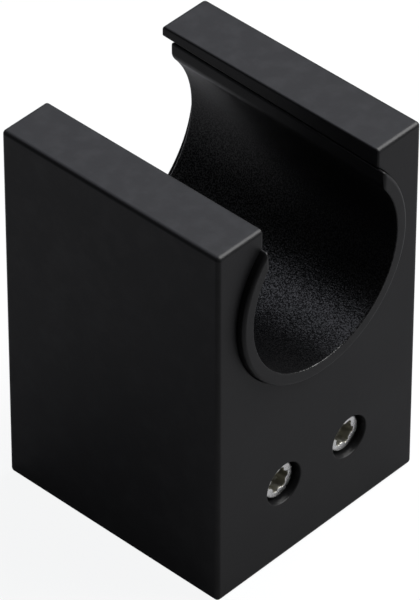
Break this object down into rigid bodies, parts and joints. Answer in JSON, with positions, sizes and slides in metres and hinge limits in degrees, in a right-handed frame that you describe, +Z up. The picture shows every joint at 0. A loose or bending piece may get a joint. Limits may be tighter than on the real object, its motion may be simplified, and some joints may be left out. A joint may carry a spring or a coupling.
{
  "type": "hair dryer holder",
  "caption": "Square matte black wall block with a round, lined cradle open at the top for a hair dryer, screwed on from the front.",
  "frame": {"origin": "on the wall face of the block, midway between the two mounting screws", "axes": "+X to the right as seen from the front, +Y into the wall, +Z up"},
  "size_m": [0.06, 0.0784, 0.092],
  "materials": {
    "black_coating": "satin black powder coat on solid aluminium",
    "liner_plastic": "black moulded plastic with a fine leather-like grain on the inside",
    "screw_steel": "bright stainless steel"
  },
  "bodies": {
    "holder": {"holder_body": "black_coating"},
    "liner": {"cradle_liner": "liner_plastic"},
    "screw_left": {"mounting_screw_left": "screw_steel"},
    "screw_right": {"mounting_screw_right": "screw_steel"}
  },
  "joints": [
    {"name": "liner_push_out", "type": "slide", "parent": "holder", "child": "liner", "axis": [0, 1, 0], "range_m": [0, 0.065]},
    {"name": "screw_left_turn", "type": "hinge", "parent": "holder", "child": "screw_left", "pos_m": [-0.01, 0, 0], "axis": [0, 1, 0], "continuous": true},
    {"name": "screw_right_turn", "type": "hinge", "parent": "holder", "child": "screw_right", "pos_m": [0.01, 0, 0], "axis": [0, 1, 0], "continuous": true}
  ]
}
